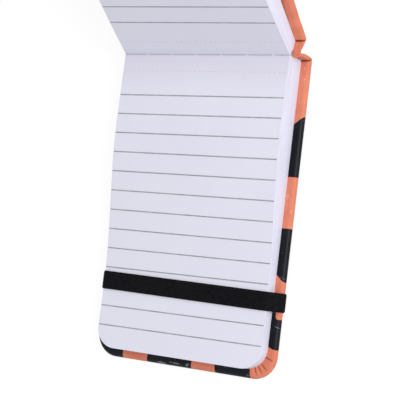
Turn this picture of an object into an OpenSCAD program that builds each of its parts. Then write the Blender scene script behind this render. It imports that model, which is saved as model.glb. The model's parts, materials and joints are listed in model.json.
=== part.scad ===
// Pocket journal bound along its head edge, open at the middle.
// The back half lies flat with an elastic round it; the front half is raised.
// Local frame of each half: s runs from the gutter to the foot, z up from the gutter.

/* [Page] */
// Width of a page, side to side
page_width = 68; // [60:0.5:80]
// Length of a page, gutter to foot
page_length = 108.7; // [95:0.5:125]
// Radius of the two foot corners of a page
page_corner_radius = 7.5; // [3:0.5:12]
// Distance from the gutter to the first ruled line
head_margin = 15.2; // [10:0.1:20]
// Distance between ruled lines
line_pitch = 7.1; // [5:0.1:9]
// Number of ruled lines on a page
line_count = 13; // [8:1:15]
// Width of a ruled line
line_width = 0.25; // [0.15:0.05:0.5]
// Depth of the printed line in the paper
line_depth = 0.05; // [0.03:0.01:0.1]

/* [Back page stack] */
// Height of the back stack at its crest
back_crest = 9.8; // [6:0.1:12]
// Distance of the crest from the gutter
back_crest_at = 26.5; // [15:0.5:40]
// How far the surface drops from the crest into the gutter
gutter_dip = 0.5; // [0.1:0.1:2]
// Height of the back stack where the elastic presses it
back_pressed = 4.8; // [3:0.1:8]
// How far the foot edge of the stack springs back up
foot_curl = 0.3; // [0:0.1:1]

/* [Front page stack] */
// Height of the front stack at the gutter
front_spine_height = 6.3; // [4:0.1:10]
// Extra height of the front stack at its crest
front_rise = 2.4; // [0:0.1:3]
// Distance of the front crest from the gutter
front_crest_at = 40; // [20:1:60]
// How far the front stack thins again towards the foot
front_fall = 0.5; // [0:0.1:1.5]

/* [Cover] */
// How far the covers stand out past the pages
cover_overhang = 3.3; // [2:0.1:5]
// Thickness of a cover with its board and leatherette
cover_thickness = 3; // [2:0.1:4]
// Radius of the two foot corners of a cover
cover_corner_radius = 8.5; // [5:0.5:15]
// Thickness of the leatherette
wrap_thickness = 0.5; // [0.3:0.05:0.8]
// Gap from the cover edge to the edge of the board inside
board_inset = 1; // [0.8:0.1:2]
// Width of the leatherette turned in on the inner side
turn_in = 8; // [5:0.5:15]
// Depth of the printed layer on the leatherette
print_depth = 0.12; // [0.08:0.01:0.2]
// Radius of the corners of the black fields
field_corner = 5; // [3:0.5:6]
// Distance from the joint to the first printed layer
field_start = 0.5; // [0.5:0.5:5]
// How much farther from the spine the black fields of the front cover lie
front_field_shift = 8; // [0:1:20]

/* [Spine] */
// Thickness of the spine strip at the joint
strip_thickness = 1.4; // [1:0.1:2]
// Slope of the spine strip away from the gutter plane
strip_lean = 0.19; // [0.1:0.01:0.3]
// Thickness of the spine strip at the fold
fold_thickness = 0.32; // [0.2:0.02:0.6]
// Half of the play at the fold line
fold_play = 0.15; // [0.1:0.05:0.3]
// Radius of the outer corner of a joint
joint_radius = 2; // [1:0.1:3]
// Distance from the foot of the strip to the board and the endpaper
board_gap = 4; // [3.5:0.5:8]
// Play between the moving cover and its neighbours
cover_play = 0.1; // [0.05:0.05:0.3]
// Angle at which the front half stands, from the flat position
raise_angle = 49; // [40:1:60]

/* [Elastic] */
// Width of the elastic
band_width = 6.6; // [4:0.1:10]
// Thickness of the elastic
band_thickness = 0.85; // [0.5:0.05:1.2]
// Distance from the gutter to the middle of the elastic
band_at = 83.9; // [70:0.1:100]
// Distance from the side of the cover to the slit of the elastic
slit_inset = 9; // [8.5:0.5:15]
// Length of each glued end of the elastic
tail_length = 6; // [4:0.5:10]
// Radius of the bend of the elastic at the side of the cover
band_bend = 1; // [0.5:0.1:1.4]

/* [Hidden] */
$fn = 48;
layer = 0.01;
surface_steps = 36;
// How far a plan outline runs past the gutter, and the strip into the cover
plan_run = 20;
strip_run = 3;
cover_width = page_width + 2 * cover_overhang;
cover_far = page_length + cover_overhang;
reach = 2 * cover_far;
back_spine_height = back_crest - gutter_dip;
gutter_y = cover_far / 2;
gutter_z = cover_thickness + back_spine_height;
front_case_height = front_spine_height + cover_play;
paper = [0.87, 0.86, 0.91];
rule_grey = [0.55, 0.55, 0.6];
coral = [0.9, 0.47, 0.38];
ink_black = [0.11, 0.12, 0.15];
board_grey = [0.55, 0.53, 0.5];
elastic_black = [0.08, 0.08, 0.09];

function ease(t) = t * t * (3 - 2 * t);

function back_height(v) =
    v < back_crest_at ? back_crest - gutter_dip * pow(1 - v / back_crest_at, 2)
    : v < band_at ? back_pressed
        + (back_crest - back_pressed) * ease((band_at - v) / (band_at - back_crest_at))
    : back_pressed + foot_curl * pow((v - band_at) / (page_length - band_at), 2);

function front_height(v) =
    front_spine_height + front_rise * sin(90 * min(1, v / front_crest_at))
    - front_fall * pow(max(0, (v - front_crest_at) / (page_length - front_crest_at)), 2);

function strip_outer(depth) = fold_play + strip_lean * depth;
function strip_foot(hs) = strip_outer(hs) + strip_thickness;
function joint_depth(hs) = hs + cover_thickness - joint_radius;
function joint_centre(hs) = strip_outer(joint_depth(hs)) + joint_radius;

// Axis of the front joint, on the outer surface half way round the corner
front_axis_s = joint_centre(front_case_height) - joint_radius * cos(45);
front_axis_z = -joint_depth(front_case_height) - joint_radius * sin(45);
front_cut_rise = cover_thickness - joint_radius * (1 - sin(45));
cut_run = 5 * joint_radius;

module along_x(width) {
    rotate([90, 0, 90]) linear_extrude(height = width, center = true) children();
}

module back_place() {
    translate([0, gutter_y, gutter_z]) mirror([0, 1, 0]) children();
}

module front_place() {
    translate([0, gutter_y, gutter_z]) rotate([raise_angle, 0, 0]) children();
}

// Plan outlines run past the gutter, and the spine side is cut later
module rounded_plan(half_width, far, radius) {
    offset(r = radius)
        translate([-(half_width - radius), -plan_run])
            square([2 * (half_width - radius), far - radius + plan_run]);
}

module cover_plan(inset) {
    rounded_plan(cover_width / 2 - inset, cover_far - inset, cover_corner_radius - inset);
}

// Cover slab with a full round along its edges
module slab(hs, shrink) {
    half = (cover_thickness - layer) / 2;
    translate([0, 0, -hs - cover_thickness])
        hull()
            for (a = [0 : 30 : 180])
                translate([0, 0, half - (half - shrink) * cos(a)])
                    linear_extrude(height = layer)
                        cover_plan(shrink + (half - shrink) * (1 - sin(a)));
}

module from_s(s) {
    translate([-reach / 2, s, -reach / 2]) cube([reach, reach, reach]);
}

module strip_profile(hs) {
    zk = -joint_depth(hs);
    sc = joint_centre(hs);
    arc = [for (a = [180 : 15 : 270]) [sc + joint_radius * cos(a), zk + joint_radius * sin(a)]];
    polygon(concat(
        [[fold_play, 0]],
        arc,
        [[strip_foot(hs) + strip_run, -hs - cover_thickness],
         [strip_foot(hs) + strip_run, -hs],
         [strip_foot(hs), -hs],
         [fold_play + fold_thickness, 0]]));
}

module case_solid(hs) {
    intersection() {
        slab(hs, 0);
        from_s(joint_centre(hs));
    }
    along_x(cover_width) strip_profile(hs);
}

module board(hs) {
    translate([0, 0, -hs - cover_thickness + wrap_thickness])
        intersection() {
            linear_extrude(height = cover_thickness - 2 * wrap_thickness) cover_plan(board_inset);
            from_s(strip_foot(hs) + board_gap);
        }
}

module endpaper(hs) {
    translate([0, 0, -hs - wrap_thickness])
        intersection() {
            linear_extrude(height = wrap_thickness) cover_plan(turn_in);
            from_s(strip_foot(hs) + board_gap);
        }
}

// Printed layer: the outer skin of the slab inside the black fields
module print_skin(hs) {
    intersection() {
        difference() {
            slab(hs, 0);
            slab(hs, print_depth);
        }
        from_s(joint_centre(hs) + field_start);
        translate([0, 0, -reach / 2]) linear_extrude(height = reach) children();
    }
}

module blob(x, s, width, length, turn) {
    translate([x, s]) rotate(turn)
        offset(r = field_corner) square([width - 2 * field_corner, length - 2 * field_corner], center = true);
}

// Black fields of the cover, a plain rounded pattern
module black_fields() {
    blob(30, 32, 36, 18, 0);
    blob(40.4, 26.2, 14, 14, -42);
    blob(-22, 22, 30, 17, -20);
    blob(-30, 52, 26, 24, 14);
    blob(6, 56, 18, 16, 30);
    blob(36, 67, 34, 16, 0);
    blob(41, 72, 14, 12, 0);
    blob(-8, 78, 24, 15, -12);
    blob(26, 91.6, 19, 17.6, 0);
    blob(40, 96, 16, 10.5, 3);
    blob(-35, 103, 20, 26, 0);
    blob(-4.9, 108, 18.7, 20, 2);
    blob(20.7, 109, 14, 16, -2);
}

module stack_profile(heights, hs) {
    step = page_length / surface_steps;
    start = fold_play + fold_thickness;
    surface = [for (i = [1 : surface_steps]) [i * step, heights[i] - hs]];
    polygon(concat([[start, 0]], surface, [[page_length, -hs], [strip_foot(hs), -hs]]));
}

module stack(heights, hs) {
    intersection() {
        along_x(page_width) stack_profile(heights, hs);
        translate([0, 0, -reach / 2])
            linear_extrude(height = reach)
                rounded_plan(page_width / 2, page_length, page_corner_radius);
    }
}

module ruling(heights, hs) {
    intersection() {
        difference() {
            stack(heights, hs);
            translate([0, 0, -line_depth]) stack(heights, hs);
        }
        for (i = [0 : line_count - 1])
            translate([-page_width, head_margin + i * line_pitch - line_width / 2, -reach / 2])
                cube([2 * page_width, line_width, reach]);
    }
}

back_heights = [for (i = [0 : surface_steps]) back_height(i * page_length / surface_steps)];
front_heights = [for (i = [0 : surface_steps]) front_height(i * page_length / surface_steps)];

// Section of the taut loop round the cover and the pressed pages
module band_core() {
    hull() {
        for (side = [-1, 1])
            translate([side * (cover_width / 2 - band_bend), band_thickness + band_bend])
                circle(r = band_bend);
        translate([-page_width / 2, cover_thickness])
            square([page_width, back_pressed]);
    }
}

module band_section() {
    slit_x = cover_width / 2 - slit_inset;
    tail_top = cover_thickness - wrap_thickness;
    difference() {
        offset(r = band_thickness) band_core();
        band_core();
        translate([-slit_x, -band_thickness]) square([2 * slit_x, 2 * band_thickness]);
    }
    for (side = [0, 1])
        mirror([side, 0]) {
            translate([slit_x - band_thickness, 0]) square([band_thickness + layer, tail_top]);
            translate([slit_x - band_thickness - tail_length, tail_top - band_thickness])
                square([tail_length + band_thickness, band_thickness]);
        }
}

module elastic_band() {
    color(elastic_black)
        translate([0, gutter_y - band_at, 0])
            rotate([90, 0, 0])
                linear_extrude(height = band_width, center = true)
                    band_section();
}

module back_cover_print() {
    color(ink_black)
        difference() {
            back_place() print_skin(back_spine_height) black_fields();
            back_endpaper();
            elastic_band();
        }
}

module back_cover_wrap() {
    color(coral)
        difference() {
            back_place() case_solid(back_spine_height);
            back_place() board(back_spine_height);
            back_place() endpaper(back_spine_height);
            back_place() print_skin(back_spine_height) black_fields();
            elastic_band();
        }
}

module back_cover_board() {
    color(board_grey)
        difference() {
            back_place() board(back_spine_height);
            elastic_band();
        }
}

module back_endpaper() {
    color(paper) back_place() endpaper(back_spine_height);
}

module back_pages() {
    color(paper)
        difference() {
            back_place() stack(back_heights, back_spine_height);
            back_place() ruling(back_heights, back_spine_height);
            elastic_band();
        }
}

module back_page_ruling() {
    color(rule_grey)
        difference() {
            back_place() ruling(back_heights, back_spine_height);
            elastic_band();
        }
}

module front_pages() {
    color(paper)
        front_place()
            difference() {
                stack(front_heights, front_spine_height);
                ruling(front_heights, front_spine_height);
            }
}

module front_page_ruling() {
    color(rule_grey) front_place() ruling(front_heights, front_spine_height);
}

// Everything on the cover side of the slanting cut through the joint axis
module cover_side(play) {
    along_x(reach)
        polygon([[front_axis_s + play - cut_run, front_axis_z - cut_run],
                 [reach, front_axis_z - cut_run],
                 [reach, -front_case_height],
                 [front_axis_s + play + front_cut_rise, -front_case_height]]);
}

module front_print() {
    print_skin(front_case_height) translate([0, front_field_shift]) black_fields();
}

module front_spine_wrap() {
    color(coral)
        front_place()
            difference() {
                along_x(cover_width) strip_profile(front_case_height);
                cover_side(0);
                from_s(front_axis_s + front_cut_rise);
            }
}

module front_cover_wrap() {
    color(coral)
        front_place()
            difference() {
                intersection() {
                    case_solid(front_case_height);
                    cover_side(cover_play);
                }
                board(front_case_height);
                endpaper(front_case_height);
                front_print();
            }
}

module front_cover_print() {
    color(ink_black)
        front_place()
            difference() {
                front_print();
                endpaper(front_case_height);
            }
}

module front_cover_board() {
    color(board_grey) front_place() board(front_case_height);
}

module front_endpaper() {
    color(paper) front_place() endpaper(front_case_height);
}

back_cover_wrap();
back_cover_print();
back_cover_board();
back_endpaper();
back_pages();
back_page_ruling();
elastic_band();
front_pages();
front_page_ruling();
front_spine_wrap();
front_cover_wrap();
front_cover_print();
front_cover_board();
front_endpaper();
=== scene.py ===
"""Pocket journal bound along its head edge, open at the middle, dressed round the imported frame."""

import json
import logging
import math
import random
from collections.abc import Callable, Sequence
from dataclasses import dataclass
from enum import Enum

import bmesh
import bpy
from mathutils import Matrix, Vector
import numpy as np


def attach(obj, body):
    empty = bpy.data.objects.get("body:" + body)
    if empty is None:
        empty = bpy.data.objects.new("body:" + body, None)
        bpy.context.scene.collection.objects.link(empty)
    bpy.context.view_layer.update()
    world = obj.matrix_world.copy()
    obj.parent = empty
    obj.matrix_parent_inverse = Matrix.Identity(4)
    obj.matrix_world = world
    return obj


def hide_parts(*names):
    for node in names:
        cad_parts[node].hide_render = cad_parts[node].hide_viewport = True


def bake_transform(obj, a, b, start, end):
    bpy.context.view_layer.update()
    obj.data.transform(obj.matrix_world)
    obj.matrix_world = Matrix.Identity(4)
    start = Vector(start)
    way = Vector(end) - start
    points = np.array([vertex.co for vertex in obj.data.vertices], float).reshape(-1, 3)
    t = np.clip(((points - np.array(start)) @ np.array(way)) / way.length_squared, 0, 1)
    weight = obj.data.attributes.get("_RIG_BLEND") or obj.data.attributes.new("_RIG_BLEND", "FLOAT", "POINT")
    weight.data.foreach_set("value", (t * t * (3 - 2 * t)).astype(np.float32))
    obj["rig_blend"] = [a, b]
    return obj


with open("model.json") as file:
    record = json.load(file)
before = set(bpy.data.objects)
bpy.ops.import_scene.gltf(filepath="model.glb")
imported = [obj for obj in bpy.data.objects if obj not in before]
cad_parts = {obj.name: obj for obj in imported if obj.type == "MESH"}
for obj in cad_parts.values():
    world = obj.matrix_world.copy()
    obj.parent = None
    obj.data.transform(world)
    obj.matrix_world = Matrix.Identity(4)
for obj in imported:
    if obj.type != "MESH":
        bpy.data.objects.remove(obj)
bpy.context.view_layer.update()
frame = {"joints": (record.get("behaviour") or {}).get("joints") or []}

LOG = logging.getLogger("journal")
MM = 0.001
IMAGE_SIDE = 416
Number = float | int
Colour = tuple[float, float, float, float]


def paint(red: int, green: int, blue: int) -> Colour:
    """Turns a colour written from 0 to 255 into the linear values that shaders take.

    Args:
        red: Red part.
        green: Green part.
        blue: Blue part.

    Returns:
        Linear red, green, blue and an alpha of 1.
    """
    def linear(part: int) -> float:
        """Returns one part on the linear scale."""
        share = part / 255
        return share / 12.92 if share <= 0.04045 else ((share + 0.055) / 1.055) ** 2.4

    return (linear(red), linear(green), linear(blue), 1.0)


def ease(share: float) -> float:
    """Returns a smooth step of a share from 0 to 1."""
    return share * share * (3 - 2 * share)


class Side(Enum):
    """The two long sides of the journal, by the sign of x."""

    LEFT = -1
    RIGHT = 1


@dataclass(frozen=True)
class Sizes:
    """Sizes of the journal in millimetres, the same as in the part's source."""

    page_width: float = 68.0
    page_length: float = 108.7
    page_corner: float = 7.5
    head_margin: float = 15.2
    line_pitch: float = 7.1
    line_count: int = 13
    back_crest: float = 9.8
    back_crest_at: float = 26.5
    gutter_dip: float = 0.5
    back_pressed: float = 4.8
    foot_curl: float = 0.3
    front_spine: float = 6.3
    front_rise: float = 2.4
    front_crest_at: float = 40.0
    front_fall: float = 0.5
    overhang: float = 3.3
    cover_thickness: float = 3.0
    cover_corner: float = 8.5
    turn_in: float = 8.0
    strip_thickness: float = 1.4
    strip_lean: float = 0.19
    fold_play: float = 0.15
    joint_radius: float = 2.0
    cover_play: float = 0.1
    board_gap: float = 4.0
    raise_angle: float = 49.0
    band_width: float = 6.6
    band_thickness: float = 0.85
    band_at: float = 83.9
    slit_inset: float = 9.0
    field_shift: float = 8.0

    @property
    def half_cover(self) -> float:
        """Half of the cover's width."""
        return self.page_width / 2 + self.overhang

    @property
    def cover_far(self) -> float:
        """Distance from the gutter to the foot edge of a cover."""
        return self.page_length + self.overhang

    @property
    def gutter_y(self) -> float:
        """Place of the gutter along Y."""
        return self.cover_far / 2

    @property
    def back_spine(self) -> float:
        """Depth from the gutter to the inner side of the back cover."""
        return self.back_crest - self.gutter_dip

    @property
    def gutter_z(self) -> float:
        """Height of the gutter."""
        return self.cover_thickness + self.back_spine

    def back_height(self, s: float) -> float:
        """Returns the height of the back stack at a distance from the gutter."""
        if s < self.back_crest_at:
            return self.back_crest - self.gutter_dip * (1 - s / self.back_crest_at) ** 2
        if s < self.band_at:
            share = (self.band_at - s) / (self.band_at - self.back_crest_at)
            return self.back_pressed + (self.back_crest - self.back_pressed) * ease(share)
        past = (s - self.band_at) / (self.page_length - self.band_at)
        return self.back_pressed + self.foot_curl * past ** 2

    def front_height(self, s: float) -> float:
        """Returns the height of the front stack at a distance from the gutter."""
        past = max(0.0, (s - self.front_crest_at) / (self.page_length - self.front_crest_at))
        swell = math.sin(math.pi / 2 * min(1.0, s / self.front_crest_at))
        return self.front_spine + self.front_rise * swell - self.front_fall * past ** 2

    def strip_outer(self, depth: float) -> float:
        """Returns where the outer side of the spine strip lies at a depth."""
        return self.fold_play + self.strip_lean * depth

    def strip_foot(self, depth: float) -> float:
        """Returns where the inner side of the spine strip meets the case."""
        return self.strip_outer(depth) + self.strip_thickness


SIZES = Sizes()


@dataclass(frozen=True)
class StripForm:
    """How the soft spine strip of one half stands at rest, away from the gutter plane.

    Outer and inner give each side's place at the top and low down; the sides turn smoothly
    between two depths.
    """

    outer: tuple[float, float]
    inner: tuple[float, float]
    outer_turn: tuple[float, float]
    inner_turn: tuple[float, float]

    @staticmethod
    def _between(places: tuple[float, float], turn: tuple[float, float], depth: float) -> float:
        """Returns a place between the top and the low one."""
        share = min(1.0, max(0.0, (depth - turn[0]) / (turn[1] - turn[0])))
        return places[0] + (places[1] - places[0]) * ease(share)

    def outer_at(self, depth: float) -> float:
        """Returns the place of the outer side at a depth."""
        return self._between(self.outer, self.outer_turn, depth)

    def inner_at(self, depth: float) -> float:
        """Returns the place of the inner side at a depth."""
        return self._between(self.inner, self.inner_turn, depth)


@dataclass(frozen=True)
class Swell:
    """How far a half lifts off its plane near the gutter, more towards its right side."""

    even: float = 0.0
    right: float = 0.0
    straight: float = 20.0
    fade: float = 10.0

    def lift(self, x: float, s: float) -> float:
        """Returns the lift at a point of the half."""
        past = max(0.0, s - self.straight)
        run = min(s, self.straight) + self.fade * (1 - math.exp(-past / self.fade))
        return (self.even + self.right * (0.5 + x / SIZES.page_width)) * max(0.0, run)


@dataclass(frozen=True)
class Half:
    """One half of the journal and its own frame.

    In that frame x runs across the page, s from the gutter to the foot and z up from the gutter.
    """

    body: str
    case_depth: float
    stack_depth: float
    height: Callable[[float], float]
    mirrored: bool
    form: StripForm
    swell: Swell = Swell()

    def turn(self) -> Matrix:
        """Returns the turn or mirror from the half's frame to the row frame."""
        if self.mirrored:
            return Matrix.Scale(-1, 4, (0, 1, 0))
        return Matrix.Rotation(math.radians(SIZES.raise_angle), 4, "X")

    def matrix(self) -> Matrix:
        """Returns the matrix from the half's frame in millimetres to the row frame in metres."""
        place = Matrix.Translation((0, SIZES.gutter_y, SIZES.gutter_z))
        return Matrix.Scale(MM, 4) @ place @ self.turn()

    def at(self, x: float, s: float, z: float) -> Vector:
        """Returns a point of the half's frame in the row frame, in metres."""
        return self.matrix() @ Vector((x, s, z + self.swell.lift(x, s)))

    def surface(self, s: float) -> float:
        """Returns how high the open page lies over the gutter at a distance from it."""
        return self.height(s) - self.stack_depth

    def slope(self, s: float) -> float:
        """Returns the angle of the open page at a distance from the gutter."""
        return math.atan2(self.surface(s + 0.5) - self.surface(s - 0.5), 1.0)

    def joint_depth(self) -> float:
        """Returns the depth of the centre of the joint's outer corner."""
        return self.case_depth + SIZES.cover_thickness - SIZES.joint_radius

    def joint_centre(self) -> float:
        """Returns how far the centre of the joint's outer corner lies from the gutter plane."""
        return self.form.outer_at(self.joint_depth()) + SIZES.joint_radius

    def joint_foot(self) -> float:
        """Returns how far the crease inside the joint lies from the gutter plane."""
        return self.form.inner_at(self.case_depth)


BACK = Half("back_half", SIZES.back_spine, SIZES.back_spine, SIZES.back_height, True,
            StripForm((-1.1, -1.9), (0.1, -0.25), (0.8, 7.0), (0.5, 4.0)))
FRONT = Half("front_half", SIZES.front_spine + SIZES.cover_play, SIZES.front_spine,
             SIZES.front_height, False,
             StripForm((-0.15, 0.15), (0.05, 1.25), (4.0, 8.5), (2.8, 6.4)),
             Swell(0.02, 0.072))


class Term:
    """A shader value that takes part in sums as a number does."""

    def __init__(self, graph: "Graph", socket: bpy.types.NodeSocket) -> None:
        """Keeps the socket and the graph that it belongs to."""
        self.graph = graph
        self.socket = socket

    def sum(self, operation: str, *terms: "Term | Number") -> "Term":
        """Adds one Math node.

        Args:
            operation: The node's operation.
            terms: The values of its sockets, in order.

        Returns:
            The node's result.
        """
        made = self.graph.node("ShaderNodeMath", {"operation": operation},
                               dict(enumerate(terms)))
        return Term(self.graph, made.outputs[0])

    def __add__(self, other: "Term | Number") -> "Term":
        """Returns the sum."""
        return self.sum("ADD", self, other)

    __radd__ = __add__

    def __mul__(self, other: "Term | Number") -> "Term":
        """Returns the product."""
        return self.sum("MULTIPLY", self, other)

    __rmul__ = __mul__

    def __sub__(self, other: "Term | Number") -> "Term":
        """Returns the difference."""
        return self.sum("SUBTRACT", self, other)

    def __rsub__(self, other: "Term | Number") -> "Term":
        """Returns a number less this value."""
        return self.sum("SUBTRACT", other, self)

    def __truediv__(self, other: "Term | Number") -> "Term":
        """Returns the quotient."""
        return self.sum("DIVIDE", self, other)

    def __abs__(self) -> "Term":
        """Returns the size without its sign."""
        return self.sum("ABSOLUTE", self)

    def __mod__(self, other: "Term | Number") -> "Term":
        """Returns the remainder, never below 0."""
        return self.sum("FLOORED_MODULO", self, other)

    def low(self, other: "Term | Number") -> "Term":
        """Returns the smaller of two values."""
        return self.sum("MINIMUM", self, other)

    def high(self, other: "Term | Number") -> "Term":
        """Returns the larger of two values."""
        return self.sum("MAXIMUM", self, other)

    def step(self, start: Number, end: Number) -> "Term":
        """Returns a smooth step from 0 at start to 1 at end; start may be above end."""
        made = self.graph.node("ShaderNodeMapRange", {"interpolation_type": "SMOOTHSTEP"},
                               {"Value": self, "From Min": start, "From Max": end})
        return Term(self.graph, made.outputs["Result"])


class Graph:
    """The nodes of one material or of the world."""

    def __init__(self, owner: bpy.types.Material | bpy.types.World) -> None:
        """Clears the nodes of a material or world."""
        self.owner = owner
        owner.use_nodes = True
        self.tree = owner.node_tree
        self.tree.nodes.clear()

    def node(self, kind: str, settings: dict[str, object] | None = None,
             values: dict[str | int, object] | None = None) -> bpy.types.Node:
        """Adds a node, first its settings and then its sockets.

        Args:
            kind: Type of the node.
            settings: Its settings by name; "stops" holds a ramp's places and colours.
            values: Values or links of its sockets, by name, identifier or number.

        Returns:
            The new node.
        """
        made = self.tree.nodes.new(kind)
        for name, setting in (settings or {}).items():
            if name == "stops":
                self._stops(made, setting)
            else:
                setattr(made, name, setting)
        for key, value in (values or {}).items():
            socket = made.inputs[key] if isinstance(key, int) else next(
                s for s in made.inputs if key in (s.identifier, s.name))
            if isinstance(value, Term):
                value = value.socket
            if isinstance(value, bpy.types.NodeSocket):
                self.tree.links.new(value, socket)
            else:
                socket.default_value = value
        return made

    @staticmethod
    def _stops(ramp: bpy.types.Node, stops: Sequence[tuple[float, Colour]]) -> None:
        """Sets the stops of a colour ramp."""
        elements = ramp.color_ramp.elements
        while len(elements) < len(stops):
            elements.new(0.5)
        for element, (place, colour) in zip(elements, stops):
            element.position = place
            element.color = colour

    def place(self) -> bpy.types.NodeSocket:
        """Returns the piece's own coordinates."""
        return self.node("ShaderNodeTexCoord").outputs["Object"]

    def map(self, name: str) -> bpy.types.NodeSocket:
        """Returns the coordinates of a piece's own map."""
        return self.node("ShaderNodeUVMap", {"uv_map": name}).outputs["UV"]

    def parts(self, vector: bpy.types.NodeSocket) -> tuple[Term, Term, Term]:
        """Returns the three parts of a vector."""
        made = self.node("ShaderNodeSeparateXYZ", None, {"Vector": vector})
        return tuple(Term(self, made.outputs[i]) for i in range(3))

    def vector(self, operation: str, *values: object) -> bpy.types.NodeSocket:
        """Returns the vector that a Vector Math node makes."""
        made = self.node("ShaderNodeVectorMath", {"operation": operation},
                         dict(enumerate(values)))
        return made.outputs["Vector"]

    def length(self, vector: bpy.types.NodeSocket) -> Term:
        """Returns the length of a vector."""
        made = self.node("ShaderNodeVectorMath", {"operation": "LENGTH"}, {0: vector})
        return Term(self, made.outputs["Value"])

    def noise(self, vector: bpy.types.NodeSocket, scale: float, detail: float = 3.0,
              roughness: float = 0.5) -> Term:
        """Returns a noise value from about 0.3 to 0.7.

        Args:
            vector: Where the noise is read.
            scale: How many features it has in one unit.
            detail: How many finer layers it has.
            roughness: How strong the finer layers are.

        Returns:
            The noise.
        """
        made = self.node("ShaderNodeTexNoise", None, {
            "Vector": vector, "Scale": scale, "Detail": detail, "Roughness": roughness})
        return Term(self, made.outputs[0])

    def mix(self, share: Term | Number, first: object, second: object,
            blend: str = "MIX") -> bpy.types.NodeSocket:
        """Returns a mix of two colours.

        Args:
            share: Share of the second colour.
            first: First colour.
            second: Second colour.
            blend: How the second colour is laid on the first.

        Returns:
            The mixed colour.
        """
        made = self.node("ShaderNodeMix", {"data_type": "RGBA", "blend_type": blend}, {
            "Factor_Float": share, "A_Color": first, "B_Color": second})
        return next(s for s in made.outputs if s.identifier == "Result_Color")

    def bump(self, height: Term, distance: float, strength: float = 1.0) -> bpy.types.NodeSocket:
        """Returns the normal that a height gives.

        Args:
            height: Height from about 0 to 1.
            distance: What a height of 1 is, in metres.
            strength: How much of it counts.

        Returns:
            The bumped normal.
        """
        made = self.node("ShaderNodeBump", None, {
            "Strength": strength, "Distance": distance, "Height": height})
        return made.outputs["Normal"]

    def surface(self, **values: object) -> bpy.types.Material:
        """Ends the material with one surface shader.

        Args:
            values: Its sockets, with _ for a blank in a name.

        Returns:
            The finished material.
        """
        named = {name.replace("_", " "): value for name, value in values.items()}
        shader = self.node("ShaderNodeBsdfPrincipled", None, named)
        self.node("ShaderNodeOutputMaterial", None, {"Surface": shader.outputs[0]})
        return self.owner


@dataclass(frozen=True)
class Field:
    """One black field of the cover's print: a rounded rectangle in the cover's plan."""

    x: float
    s: float
    width: float
    length: float
    turn: float


FIELD_CORNER = 5.0
FIELDS = (
    Field(30, 32, 36, 18, 0), Field(40.4, 26.2, 14, 14, -42), Field(-22, 22, 30, 17, -20),
    Field(-30, 52, 26, 24, 14), Field(6, 56, 18, 16, 30), Field(36, 67, 34, 16, 0),
    Field(41, 72, 14, 12, 0), Field(-8, 78, 24, 15, -12), Field(26, 91.6, 19, 17.6, 0),
    Field(40, 96, 16, 10.5, 3), Field(-35, 103, 20, 26, 0), Field(-4.9, 108, 18.7, 20, 2),
    Field(20.9, 109, 14, 16, -9),
)


@dataclass(frozen=True)
class Scuff:
    """One rubbed spot of the leatherette: an ellipsoid in the row frame, in millimetres."""

    place: tuple[float, float, float]
    length: float
    width: float
    turn: float = 0.0
    height: float = 1.5


BACK_SCUFFS = (
    Scuff((-8.0, -55.4, 2.8), 2.4, 0.45, -3), Scuff((-2.2, -54.9, 3.0), 3.0, 0.35, -4),
    Scuff((2.8, -54.8, 3.0), 1.2, 0.5, 20), Scuff((36.3, -37.2, 2.4), 1.2, 0.15, -22),
)
SPINE_SCUFFS = (
    Scuff((35.7, 53.4, 2.4), 0.22, 0.42, 20), Scuff((36.1, 49.5, 2.6), 0.22, 0.2, 0),
)


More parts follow.
